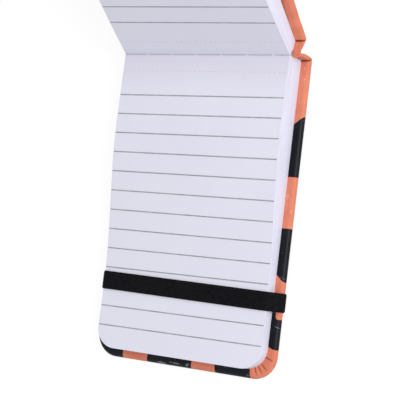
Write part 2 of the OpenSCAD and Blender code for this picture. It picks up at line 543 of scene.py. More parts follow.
@dataclass(frozen=True)
class Leatherette:
    """Coral leatherette with a fine grain, plain or printed with black fields.

    A half prints the fields in that half's plan, and the crease map, when given, says how much
    painted shade darkens a point in a crease.
    """

    name: str
    half: Half | None = None
    shift: float = 0.0
    scuffs: tuple[Scuff, ...] = ()
    crease_shade_map: str | None = None
    coral: Colour = paint(219, 133, 106)
    coral_worn: Colour = paint(240, 172, 148)
    black: Colour = paint(7, 9, 15)
    black_worn: Colour = paint(96, 97, 104)
    rub_coral: Colour = paint(250, 226, 214)
    rub_black: Colour = paint(118, 121, 127)
    # dark tone of the painted shade in the spine's creases
    crease_shade_tone: Colour = paint(128, 62, 46)
    field_blend: float = 2.2
    field_soft: float = 0.07

    def plan(self, graph: Graph) -> bpy.types.NodeSocket:
        """Returns the place in the cover's plan in millimetres, x across and y from the spine."""
        turn = math.radians(0 if self.half.mirrored else -SIZES.raise_angle)
        sign = -1 if self.half.mirrored else 1
        gutter = Vector((0, SIZES.gutter_y * sign, 0 if self.half.mirrored else SIZES.gutter_z))
        gutter.rotate(Matrix.Rotation(turn, 3, "X"))
        mapped = graph.node("ShaderNodeMapping", {"vector_type": "POINT"}, {
            "Vector": graph.place(), "Rotation": (turn, 0, 0),
            "Scale": (1 / MM, sign / MM, 1 / MM),
            "Location": (0, -gutter.y - self.shift, 0)})
        return graph.vector("MULTIPLY", mapped.outputs[0], (1, 1, 0))

    def fields(self, graph: Graph) -> Term:
        """Returns 1 inside the black fields and 0 outside."""
        plan = self.plan(graph)
        nearest: Term | None = None
        for spot in FIELDS:
            local = graph.node("ShaderNodeMapping", {"vector_type": "TEXTURE"}, {
                "Vector": plan, "Location": (spot.x, spot.s, 0),
                "Rotation": (0, 0, math.radians(spot.turn))}).outputs[0]
            folded = graph.vector("ABSOLUTE", local)
            beyond = graph.vector("SUBTRACT", folded, (
                spot.width / 2 - FIELD_CORNER, spot.length / 2 - FIELD_CORNER, 0))
            reach = graph.length(graph.vector("MAXIMUM", beyond, (0, 0, 0)))
            nearest = reach if nearest is None else nearest.sum(
                "SMOOTH_MIN", nearest, reach, self.field_blend)
        return nearest.step(FIELD_CORNER + self.field_soft, FIELD_CORNER - self.field_soft)

    def rubbed(self, graph: Graph) -> Term:
        """Returns 1 where a scuff has rubbed the grain pale and 0 elsewhere."""
        place = graph.place()
        nearest: Term | None = None
        for spot in self.scuffs:
            local = graph.node("ShaderNodeMapping", {"vector_type": "TEXTURE"}, {
                "Vector": place, "Location": [MM * part for part in spot.place],
                "Rotation": (0, 0, math.radians(spot.turn)),
                "Scale": (spot.length * MM, spot.width * MM, spot.height * MM)}).outputs[0]
            reach = graph.length(local)
            nearest = reach if nearest is None else nearest.low(reach)
        rough = graph.noise(place, 1300, 3, 0.6)
        return (nearest + (rough - 0.5) * 2.4).step(1.0, 0.5)

    def material(self) -> bpy.types.Material:
        """Returns the leatherette with its grain, mottling, wear, print and painted crease shade."""
        graph = Graph(bpy.data.materials.new(self.name))
        place = graph.place()
        grain = graph.noise(place, 1900, 4, 0.6)
        creases = graph.noise(place, 520, 3, 0.55)
        mottle = graph.noise(place, 95, 4, 0.6)
        specks = graph.noise(place, 420, 2, 0.5)
        patches = graph.noise(place, 46, 3, 0.5)
        wear = specks.step(0.635, 0.70) * patches.step(0.5, 0.62)
        coral = graph.mix(mottle.step(0.3, 0.72), paint(208, 120, 94), self.coral)
        coral = graph.mix(wear * 0.45, coral, self.coral_worn)
        roughness = 0.44 + mottle * 0.14 + wear * 0.1
        colour, rubbed_tone = coral, self.rub_coral
        if self.half is not None:
            fields = self.fields(graph)
            black = graph.mix(mottle.step(0.35, 0.7), self.black, paint(14, 17, 27))
            black = graph.mix(wear * 0.6, black, self.black_worn)
            colour = graph.mix(fields, coral, black)
            rubbed_tone = graph.mix(fields, self.rub_coral, self.rub_black)
            roughness = roughness - fields * 0.08
        if self.scuffs:
            colour = graph.mix(self.rubbed(graph) * 0.75, colour, rubbed_tone)
        # Painted shade: the spine darkens towards the crease tone deep in its creases.
        if self.crease_shade_map:
            crease = graph.parts(graph.map(self.crease_shade_map))[0]
            colour = graph.mix(crease.step(0.15, 1.0) * 0.8, colour, self.crease_shade_tone)
        return graph.surface(Base_Color=colour, Roughness=roughness,
                             Normal=graph.bump(grain * 0.4 + creases * 0.6, 0.00012, 0.55),
                             Specular_IOR_Level=0.16)


@dataclass(frozen=True)
class PagePaper:
    """Smooth lavender-white paper with painted shade near the gutter; its edges show the leaves as fine
    streaks.
    """

    name: str
    face: Colour = paint(227, 226, 240)
    shade: Colour = paint(212, 211, 228)
    # tone of the painted shade on the lower page near the gutter
    valley: Colour = paint(208, 205, 219)

    def material(self) -> bpy.types.Material:
        """Returns the paper with leaf streaks on the map named leaf and painted shade near the gutter."""
        graph = Graph(bpy.data.materials.new(self.name))
        place = graph.place()
        across, depth, _ = graph.parts(graph.map("leaf"))
        joined = graph.node("ShaderNodeCombineXYZ", None, {0: across * 0.06, 1: depth * 0.5})
        streaks = graph.noise(joined.outputs[0], 1.0, 4, 0.6)
        edge = depth.step(0.01, 0.2)
        tone = graph.noise(place, 60, 3, 0.5)
        fibre = graph.noise(place, 1500, 4, 0.6)
        face = graph.mix(tone.step(0.3, 0.7) * 0.35, self.face, paint(223, 221, 236))
        # Painted shade: the lower page darkens over its first 15 mm from the gutter.
        down = SIZES.gutter_y - graph.parts(place)[1] * (1 / MM)
        face = graph.mix(down.step(15, 2) * down.step(-1, 0.5) * 0.5, face, self.valley)
        side = graph.mix(streaks.step(0.36, 0.66), self.shade, paint(224, 224, 241))
        colour = graph.mix(edge, face, side)
        waves = graph.noise(place, 35, 2, 0.4)
        return graph.surface(Base_Color=colour, Roughness=0.72,
                             Normal=graph.bump(fibre * 0.03 + waves * 0.5, 0.0006, 0.5))


@dataclass(frozen=True)
class FoldPaper:
    """Paper of the innermost fold, with a dashed darker line along the fold, painted shadow along it and
    painted shade on the lower page's side.
    """

    name: str
    face: Colour = paint(224, 222, 237)
    # tone of the dashed darker line along the fold
    fold_dash_tone: Colour = paint(165, 175, 195)
    # tone of the painted shade on the lower page's side of the fold
    valley: Colour = paint(208, 205, 219)
    # pitch of the dashes along the fold
    dash_pitch: float = 10.4
    gap: float = 1.1

    def material(self) -> bpy.types.Material:
        """Returns the paper with its dashes and painted shade on the map named plan, in millimetres."""
        graph = Graph(bpy.data.materials.new(self.name))
        across, from_fold, _ = graph.parts(graph.map("plan"))
        # A dashed darker line runs along the fold.
        along = (across + SIZES.page_width / 2) % self.dash_pitch
        dash = along.step(self.dash_pitch - self.gap + 0.25, self.dash_pitch - self.gap - 0.25)
        dash = dash * abs(from_fold).step(0.34, 0.2)
        # Painted shadow along the fold and painted shade on the lower page's side.
        shadow = abs(from_fold).step(1.3, 0.2) * 0.3
        lower = graph.mix(from_fold.step(-0.3, 0.5) * 0.5, self.face, self.valley)
        tone = graph.mix(shadow, lower, paint(186, 186, 206))
        fibre = graph.noise(graph.place(), 1500, 3, 0.6)
        return graph.surface(Base_Color=graph.mix(dash * 0.85, tone, self.fold_dash_tone), Roughness=0.75,
                             Normal=graph.bump(fibre, 0.00002, 0.4))


@dataclass(frozen=True)
class Ink:
    """Printed or pressed marks on the paper, a little uneven; the perforation's darker slots are painted
    shade of its cuts.
    """

    name: str
    tone: Colour = paint(144, 146, 146)
    pale: Colour = paint(166, 167, 170)

    def material(self) -> bpy.types.Material:
        """Returns the ink."""
        graph = Graph(bpy.data.materials.new(self.name))
        uneven = graph.noise(graph.place(), 300, 3, 0.6)
        return graph.surface(Base_Color=graph.mix(uneven.step(0.35, 0.7), self.tone, self.pale),
                             Roughness=0.7)


@dataclass(frozen=True)
class Endpaper:
    """Plain paper pasted inside a cover."""

    name: str
    tone: Colour = paint(222, 220, 233)

    def material(self) -> bpy.types.Material:
        """Returns the paper with a soft mottling and a faint fibre."""
        graph = Graph(bpy.data.materials.new(self.name))
        place = graph.place()
        mottle = graph.noise(place, 80, 4, 0.6)
        fibre = graph.noise(place, 1200, 4, 0.6)
        return graph.surface(
            Base_Color=graph.mix(mottle.step(0.3, 0.7), self.tone, paint(214, 212, 226)),
            Roughness=0.8, Normal=graph.bump(fibre, 0.00003, 0.5))


@dataclass(frozen=True)
class Elastic:
    """Black woven elastic with a fine cross weave and painted highlights on its rib tops."""

    name: str
    dark: Colour = paint(3, 3, 5)
    # lighter tone of the fuzz and of the painted highlight on the rib tops
    light: Colour = paint(33, 33, 38)
    rib_pitch: float = 0.825
    thread_pitch: float = 0.42

    def material(self) -> bpy.types.Material:
        """Returns the elastic with its weave and painted rib highlights on the map named weave, in
        millimetres.
        """
        graph = Graph(bpy.data.materials.new(self.name))
        along, across, _ = graph.parts(graph.map("weave"))
        threads = (along % self.thread_pitch) * (1 / self.thread_pitch)
        cross = abs(threads - 0.5) * 2
        fuzz = graph.noise(graph.place(), 900, 4, 0.7)
        # Painted highlight: lighter on the raised rib tops, darker in the grooves between them.
        rib_highlight = abs((across * (1 / self.rib_pitch)) % 1.0 - 0.5) * 2
        share = fuzz.step(0.3, 0.75) * 0.35 + cross.step(0.7, 0.1) * 0.12
        share = share + rib_highlight.step(0.45, 0.95) * 0.32
        return graph.surface(Base_Color=graph.mix(share, self.dark, self.light), Roughness=0.82,
                             Normal=graph.bump(cross * 0.6 + fuzz * 0.5, 0.00006, 0.7),
                             Specular_IOR_Level=0.08)


class Finish(Enum):
    """The finishes of the journal."""

    PAGES = PagePaper("page_paper_leaves")
    FOLD = FoldPaper("fold_paper")
    RULES = Ink("ruling_ink_lines")
    # darker slots as painted shade of the perforation's cuts
    HOLES = Ink("perforation_cut_shade", paint(198, 195, 211), paint(212, 209, 224))
    ENDPAPER = Endpaper("endpaper_sheet")
    ELASTIC = Elastic("black_woven_elastic")
    # the spine's fold map carries its painted crease shade
    SPINE = Leatherette("coral_leatherette_spine", scuffs=SPINE_SCUFFS, crease_shade_map="fold")
    BACK_COVER = Leatherette("printed_leatherette_back", BACK, scuffs=BACK_SCUFFS)
    FRONT_COVER = Leatherette("printed_leatherette_front", FRONT, SIZES.field_shift)

    def dress(self, piece: bpy.types.Object) -> None:
        """Gives the piece this finish, made on first use."""
        made = bpy.data.materials.get(self.value.name) or self.value.material()
        piece.data.materials.clear()
        piece.data.materials.append(made)


@dataclass
class Bench:
    """One new mesh, from its first shape to a finished piece."""

    name: str

    def __post_init__(self) -> None:
        """Starts the mesh and the layers that keep each vertex's place in its ring and map."""
        self.mesh = bmesh.new()
        self.ring = self.mesh.verts.layers.int.new("ring")
        self.u = self.mesh.verts.layers.float.new("u")
        self.v = self.mesh.verts.layers.float.new("v")

    def all(self) -> list[bmesh.types.BMVert | bmesh.types.BMEdge | bmesh.types.BMFace]:
        """Returns everything in the mesh."""
        return self.mesh.verts[:] + self.mesh.edges[:] + self.mesh.faces[:]

    def cut(self, place: Vector | Sequence[float], normal: Sequence[float]) -> None:
        """Cuts the mesh along a plane and keeps both sides."""
        bmesh.ops.bisect_plane(self.mesh, geom=self.all(), dist=1e-5, plane_co=place,
                               plane_no=normal)

    def slab(self, half_width: float, start: float, far: float, corner: float, base: float,
             steps: int) -> bmesh.types.BMFace:
        """Makes one flat face with two rounded corners at its far edge.

        Args:
            half_width: Half of its width along x.
            start: Where it starts along s.
            far: Where it ends along s.
            corner: Radius of the far corners.
            base: Its height.
            steps: Facets of each corner.

        Returns:
            The face.
        """
        place = Matrix.Translation((0, (start + far) / 2, base))
        stretch = Matrix.Diagonal((half_width * 2, far - start, 1, 1))
        bmesh.ops.create_grid(self.mesh, x_segments=1, y_segments=1, size=0.5,
                              matrix=place @ stretch)
        corners = [v for v in self.mesh.verts if v.co.y > far - 0.01]
        bmesh.ops.bevel(self.mesh, geom=corners, offset=corner, offset_type="OFFSET",
                        segments=steps, profile=0.5, affect="VERTICES", material=-1)
        return self.mesh.faces[:][0]

    def sweep(self, stations: int, ring: int,
              where: Callable[[int, int], tuple[Vector, float, float]]) -> None:
        """Carries a closed ring through stations by extruding its edges, and closes both ends.

        Args:
            stations: How many rings there are.
            ring: How many vertices each ring has.
            where: Gives the place and the map's u and v for a station and a ring vertex.
        """
        bmesh.ops.create_circle(self.mesh, segments=ring, radius=1.0)
        self.mesh.verts.ensure_lookup_table()
        for index, vertex in enumerate(self.mesh.verts):
            vertex[self.ring] = index
        edges, verts = self.mesh.edges[:], self.mesh.verts[:]
        for station in range(stations):
            if station:
                made = bmesh.ops.extrude_edge_only(self.mesh, edges=edges)["geom"]
                edges = [g for g in made if isinstance(g, bmesh.types.BMEdge)]
                verts = [g for g in made if isinstance(g, bmesh.types.BMVert)]
            for vertex in verts:
                vertex.co, vertex[self.u], vertex[self.v] = where(station, vertex[self.ring])
        self.close()

    def close(self) -> None:
        """Closes every hole."""
        rims = [e for e in self.mesh.edges if e.is_boundary]
        bmesh.ops.holes_fill(self.mesh, edges=rims, sides=0)

    def block(self, place: Vector, size: Sequence[float], tilt: float = 0.0) -> None:
        """Adds a small block, tilted about x."""
        matrix = (Matrix.Translation(place) @ Matrix.Rotation(tilt, 4, "X")
                  @ Matrix.Diagonal((*size, 1)))
        bmesh.ops.create_cube(self.mesh, size=1.0, matrix=matrix)

    def piece(self, place: Half | None, finish: Finish, slot: str, sharp: float = 38.0,
              chart: str | None = None,
              flat: Callable[[bmesh.types.BMFace], bool] | None = None) -> bpy.types.Object:
        """Ends the mesh and makes its object.

        Args:
            place: The half whose frame the mesh is in, or None for the row frame.
            finish: Its finish.
            slot: Not used.
            sharp: Edges bent by more degrees than this stay sharp.
            chart: Name of the map to write from each vertex's u and v.
            flat: Says which faces get 0 on the map.

        Returns:
            The new object, which rides on nothing yet.
        """
        if chart:
            layer = self.mesh.loops.layers.uv.new(chart)
            for face in self.mesh.faces:
                zero = flat is not None and flat(face)
                for loop in face.loops:
                    loop[layer].uv = (0, 0) if zero else (loop.vert[self.u], loop.vert[self.v])
        if place:
            for vertex in self.mesh.verts:
                vertex.co.z += place.swell.lift(vertex.co.x, vertex.co.y)
        matrix = place.matrix() if place else Matrix.Scale(MM, 4)
        bmesh.ops.transform(self.mesh, matrix=matrix, verts=self.mesh.verts)
        bmesh.ops.recalc_face_normals(self.mesh, faces=self.mesh.faces)
        for face in self.mesh.faces:
            face.smooth = True
        self.mesh.verts.layers.int.remove(self.ring)
        for name in ("u", "v"):
            self.mesh.verts.layers.float.remove(self.mesh.verts.layers.float[name])
        data = bpy.data.meshes.new(self.name)
        self.mesh.to_mesh(data)
        self.mesh.free()
        data.set_sharp_from_angle(angle=math.radians(sharp))
        made = bpy.data.objects.new(self.name, data)
        bpy.context.scene.collection.objects.link(made)
        finish.dress(made)
        LOG.info("%s: %d faces", self.name, len(data.polygons))
        return made


@dataclass
class PageStack:
    """The pages of one half: a block of leaves, its ruling and its perforation."""

    half: Half
    stem: str
    seed: int
    leaves: int = 30
    cut_step: float = 2.0
    top_leaf: float = 0.07
    top_inset: float = 0.12
    spine_gap: float = 0.05
    fan: float = 9.0
    rule_width: float = 0.42
    rule_height: float = 0.05
    rule_lift: float = 0.012
    rule_margin: float = 0.25
    start: float = 0.14
    start_depth: float = 2.0
    drift: float = 0.02
    columns: int = 8
    skew: float = -0.005
    perforation_at: float = 6.2
    perforation_pitch: float = 2.0
    perforation_count: int = 34
    perforation_slot: tuple[float, float, float] = (0.7, 0.24, 0.03)
    perforation_lift: float = 0.003
    facets: int = 14

    def depths(self) -> list[tuple[float, float]]:
        """Returns the share of the height and the outward step of each ring of the edge."""
        draw = random.Random(self.seed)
        rings = [(0.0, -self.top_inset), (self.top_leaf / 8, -self.top_inset),
                 (self.top_leaf / 8 + 0.0006, -0.02)]
        drift = 0.0
        for k in range(1, self.leaves + 1):
            drift = 0.6 * drift + draw.uniform(-self.drift, self.drift / 2)
            rings.append((0.01 + 0.99 * k / self.leaves, min(0.0, drift)))
        return rings

    def outward(self, x: float, s: float) -> Vector:
        """Returns the direction away from the page at a point of its outline."""
        radius = SIZES.page_corner
        side = SIZES.page_width / 2 - radius
        foot = SIZES.page_length - radius
        away = Vector((math.copysign(max(0.0, abs(x) - side), x), max(0.0, s - foot), 0))
        if s < foot:
            away = Vector((x if abs(x) > side + radius * 0.99 else 0.0, 0, 0))
        return away.normalized() if away.length > 1e-6 else away

    def block(self) -> bpy.types.Object:
        """Builds the leaves as one block whose edge steps in and out from leaf to leaf."""
        bench = Bench(f"{self.stem}_leaves")
        start = self.start
        bench.slab(SIZES.page_width / 2, start, SIZES.page_length, SIZES.page_corner, 0,
                   self.facets)
        for column in range(1, self.columns):
            bench.cut((SIZES.page_width * (column / self.columns - 0.5), 0, 0), (1, 0, 0))
        cut = self.cut_step
        while cut < SIZES.page_length - 0.5:
            bench.cut((0, cut, 0), (0, 1, 0))
            cut += self.cut_step
        mesh = bench.mesh
        plan_x = mesh.verts.layers.float.new("plan_x")
        plan_s = mesh.verts.layers.float.new("plan_s")
        for vertex in mesh.verts:
            vertex[plan_x], vertex[plan_s] = vertex.co.x, vertex.co.y
        form = self.half.form
        edges = [e for e in mesh.edges if e.is_boundary]
        verts = mesh.verts[:]
        for index, (share, step) in enumerate(self.depths()):
            if index:
                made = bmesh.ops.extrude_edge_only(mesh, edges=edges)["geom"]
                edges = [g for g in made if isinstance(g, bmesh.types.BMEdge)]
                verts = [g for g in made if isinstance(g, bmesh.types.BMVert)]
            for vertex in verts:
                x, s = vertex[plan_x], vertex[plan_s]
                height = self.half.height(s)
                z = height * (1 - share) - self.half.stack_depth
                face = form.inner_at(max(0.0, -z)) + self.spine_gap
                if z > -self.start_depth:
                    face = max(face, start)
                shear = (face - start) * max(0.0, 1 - (s - start) / self.fan)
                vertex.co = Vector((x, s + shear, z)) + self.outward(x, s) * step
                vertex[bench.u] = s + x
                vertex[bench.v] = share * self.leaves
        bench.close()
        mesh.verts.layers.float.remove(mesh.verts.layers.float["plan_x"])
        mesh.verts.layers.float.remove(mesh.verts.layers.float["plan_s"])
        made = bench.piece(self.half, Finish.PAGES, "page_paper", 30.0, "leaf",
                           lambda face: max(v[bench.v] for v in face.verts) < 1e-6)
        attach(made, self.half.body)
        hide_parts(f"{self.stem}_pages")
        return made

    def ruling(self) -> bpy.types.Object:
        """Lays the ruled lines on the open page."""
        bench = Bench(f"{self.stem}_ruled_lines")
        width = SIZES.page_width - 2 * self.rule_margin
        for index in range(SIZES.line_count):
            s = SIZES.head_margin + index * SIZES.line_pitch
            place = Vector((0, s, self.half.surface(s) + self.rule_lift))
            bench.block(place, (width, self.rule_width, self.rule_height), self.half.slope(s))
        for vertex in bench.mesh.verts:
            vertex.co.z += self.half.surface(vertex.co.y + self.skew * vertex.co.x)
            vertex.co.z -= self.half.surface(vertex.co.y)
            vertex.co.y += self.skew * vertex.co.x
        made = bench.piece(self.half, Finish.RULES, "ruling_ink")
        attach(made, self.half.body)
        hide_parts(f"{self.stem}_page_ruling")
        return made

    def perforation(self) -> bpy.types.Object:
        """Lays the row of small slots near the gutter, their darker tone painted shade of the cuts."""
        bench = Bench(f"{self.stem}_perforation")
        s = self.perforation_at
        first = -(self.perforation_count - 1) / 2
        for index in range(self.perforation_count):
            place = Vector(((first + index) * self.perforation_pitch, s,
                            self.half.surface(s) + self.perforation_lift))
            bench.block(place, self.perforation_slot, self.half.slope(s))
        made = bench.piece(self.half, Finish.HOLES, "page_paper")
        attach(made, self.half.body)
        return made

    def build(self) -> None:
        """Builds the block, its ruling and its perforation."""
        self.block()
        self.ruling()
        self.perforation()


@dataclass
class FoldStrip:
    """The innermost fold of paper, which bends at the gutter, and the wedge of paper under it."""

    offsets: tuple[float, ...] = (1.0, 0.62, 0.36, 0.18, 0.07)
    reach: float = 2.6
    lift: float = 0.05
    thickness: float = 0.07
    valley: float = 0.1
    valley_reach: float = 0.5
    bend: float = 1.6
    wedge: float = 1.75
    side_inset: float = 0.06

    def build(self) -> bpy.types.Object:
        """Builds the strip across the gutter, with its wedge, and blends it."""
        line = [(BACK, self.reach * o) for o in self.offsets] + [(BACK, 0.0)]
        line += [(FRONT, self.reach * o) for o in reversed(self.offsets)]
        half_width = SIZES.page_width / 2 - self.side_inset
        count = len(line)
        middle = len(self.offsets)
        lean = math.radians(SIZES.raise_angle / 2)
        up = Vector((0, -math.sin(lean), math.cos(lean)))

        def where(station: int, index: int) -> tuple[Vector, float, float]:
            """Returns a point of the strip's section."""
            x = half_width * (1 if station else -1)
            over = index < count
            slot = index if over else 2 * count - 1 - index
            half, s = line[slot]
            round_up = self.valley * math.exp(-(s / self.valley_reach) ** 2)
            z = half.surface(s) + round_up + (self.lift if over else self.lift - self.thickness)
            if not over and abs(slot - middle) < 2:
                z = -self.wedge
            if s == 0:
                point = Vector((x, SIZES.gutter_y, SIZES.gutter_z)) + up * z
            else:
                point = half.at(x, s, z) / MM
            return point, x, s if half is BACK else -s

        bench = Bench("gutter_fold")
        bench.sweep(2, 2 * count, where)
        made = bench.piece(None, Finish.FOLD, "page_paper", 50.0, "plan")
        gutter_bend(made, self.bend)
        return made


def gutter_bend(piece: bpy.types.Object, reach: float) -> None:
    """Lets a piece bend from the back half to the front half round the gutter line.

    Args:
        piece: The piece.
        reach: How far the bend runs to each side, in millimetres.
    """
    gutter = Vector((0, SIZES.gutter_y, SIZES.gutter_z))
    lean = math.radians(SIZES.raise_angle / 2)
    across = Vector((0, math.cos(lean), math.sin(lean))) * reach
    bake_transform(piece, "back_half", "front_half", start=(gutter - across) * MM,
             end=(gutter + across) * MM)


@dataclass(frozen=True)
class Station:
    """One station of a swept strip of leatherette.

    It holds the outer and inner points along the spine, how far the left end is tucked in and
    how much painted crease shade its inner side gets.
    """

    outer: Vector
    inner: Vector
    tuck: float = 0.0
    # strength of the painted crease shade on the inner side
    crease: float = 0.0


@dataclass
class SpineLeather:
    """The leatherette of the spine: two strips, the notch between them and the two joints."""

    end_steps: int = 8
    back_top: float = 2.5
    front_top: float = 3.0
    notch_round: float = 0.3
    notch_peak: float = 2.1
    tuck: float = 2.4
    tuck_end: float = 5.0
    split_depth: float = 4.4
    cover_start: float = 7.0
    groove: float = 0.6
    groove_share: float = 0.13
    crease_shade_share: float = 0.2
    crease_rise: float = 0.75
    crease_run: float = 1.5
    wall_end: float = 0.9
    cover_gap: float = 1.9
    right_tuck: float = 0.1
    bend: float = 1.6
    joint_bend: float = 1.7

    def wall(self, half: Half, depth: float) -> Station:
        """Returns a station of the strip at a depth under the gutter."""
        share = min(1.0, max(0.0, (depth - self.back_top) / (self.tuck_end - self.back_top)))
        return Station(half.at(0, half.form.outer_at(depth), -depth) / MM,
                       half.at(0, half.form.inner_at(depth), -depth) / MM,
                       self.tuck * (1 - ease(share)))

    def corner(self, half: Half, steps: int = 12) -> list[Station]:
        """Returns the stations round the joint's corner, with the crease and its painted shade on the inner
        side.
        """
        centre_s, centre_z = half.joint_centre(), -half.joint_depth()
        floor = -half.case_depth
        found = []
        for step in range(steps + 1):
            share = step / steps
            angle = math.radians(180 + 90 * share)
            outer = (centre_s + SIZES.joint_radius * math.cos(angle),
                     centre_z + SIZES.joint_radius * math.sin(angle))
            deep = self.groove * math.exp(-((share - 0.5) / self.groove_share) ** 2)
            down = self.crease_rise * max(0.0, 1 - share / 0.5)
            along = self.crease_run * max(0.0, share - 0.5) / 0.5
            wall = half.form.inner_at(half.case_depth - down)
            inner = (wall + along - 0.5 * deep, floor + down - deep)
            # The painted crease shade is strongest halfway round the corner.
            found.append(Station(half.at(0, *outer) / MM, half.at(0, *inner) / MM,
                                 crease=math.exp(-((share - 0.5) / self.crease_shade_share) ** 2)))
        return found

    def cover(self, half: Half) -> list[Station]:
        """Returns the stations along the first stretch of the cover."""
        floor = -half.case_depth
        begin = half.joint_foot() + self.cover_gap
        places = [begin + (self.cover_start - begin) * k / 3 for k in range(1, 4)]
        return [Station(half.at(0, s, floor - SIZES.cover_thickness) / MM,
                        half.at(0, s, floor) / MM) for s in places]

    def strip(self, half: Half, start: float, end: float, count: int) -> list[Station]:
        """Returns evenly spaced stations of the straight strip."""
        return [self.wall(half, start + (end - start) * k / (count - 1)) for k in range(count)]

    def notch(self, steps: int = 10) -> list[Station]:
        """Returns the stations of the fold between the strips, which fans out round its notch."""
        back, front = self.wall(BACK, self.back_top), self.wall(FRONT, self.front_top)
        gutter = Vector((0, SIZES.gutter_y, SIZES.gutter_z - self.notch_peak))
        corner = (gutter - (back.inner + front.inner) / 4) * 2
        apex = (back.outer + front.outer) / 2 + Vector((0, -1, 1)) * self.notch_round
        found = []
        for step in range(1, steps):
            t = step / steps
            inner = back.inner * (1 - t) ** 2 + corner * 2 * (t - t * t) + front.inner * t * t
            outer = back.outer * (1 - t) ** 2 + apex * 2 * (t - t * t) + front.outer * t * t
            found.append(Station(outer, inner, self.tuck))
        return found

    def ring(self, station: Station, index: int) -> tuple[Vector, float, float]:
        """Returns a point of the flattened ring at a station, with its share of the painted crease shade.

        Args:
            station: The station.
            index: Number of the vertex; the ring has two straight sides and round ends.

        Returns:
            The point, how much painted crease shade it gets and 0.
        """
        steps = self.end_steps
        middle = (station.outer + station.inner) / 2
        radius = (station.outer - station.inner).length / 2
        reach = SIZES.half_cover - radius
        side = Side.RIGHT if index <= steps else Side.LEFT
        local = index if side is Side.RIGHT else 2 * steps + 1 - index
        angle = math.pi * local / steps
        point = middle + (station.outer - middle) * math.cos(angle)
        tuck = station.tuck * (1 if side is Side.LEFT else self.right_tuck)
        point.x = side.value * (reach - tuck + radius * math.sin(angle))
        # u carries the painted crease shade, full on the inner side only.
        return point, station.crease * (1 - math.cos(angle)) / 2, 0.0

    def sheet(self, name: str, stations: list[Station]) -> bpy.types.Object:
        """Sweeps a piece of leatherette through its stations; its fold map carries the painted crease shade.
        """
        bench = Bench(name)
        bench.sweep(len(stations), 2 * self.end_steps + 2,
                    lambda s, i: self.ring(stations[s], i))
        return bench.piece(None, Finish.SPINE, "coral_leatherette", 42.0, "fold")

    def build(self) -> None:
        """Builds the spine from the back cover to the front strip, and the front joint."""
        down = BACK.case_depth - self.wall_end
        stations = list(reversed(self.cover(BACK))) + list(reversed(self.corner(BACK)))
        stations += list(reversed(self.strip(BACK, self.back_top, down, 12)))
        stations += self.notch()
        stations += self.strip(FRONT, self.front_top, self.split_depth, 4)
        spine = self.sheet("spine_leather", stations)
        gutter_bend(spine, self.bend)
        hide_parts("front_spine_wrap")

        down = FRONT.case_depth - self.wall_end
        stations = self.strip(FRONT, self.split_depth, down, 3)
        stations += self.corner(FRONT, 16) + self.cover(FRONT)
        joint = self.sheet("front_joint_leather", stations)
        axis = next(Vector(j["pos_m"]) for j in frame["joints"]
                    if j["name"] == "front_cover_hinge")
        along = FRONT.turn() @ Vector((0, 1, -1)).normalized() * self.joint_bend * MM
        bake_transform(joint, "front_half", "front_cover", start=axis - along, end=axis + along)


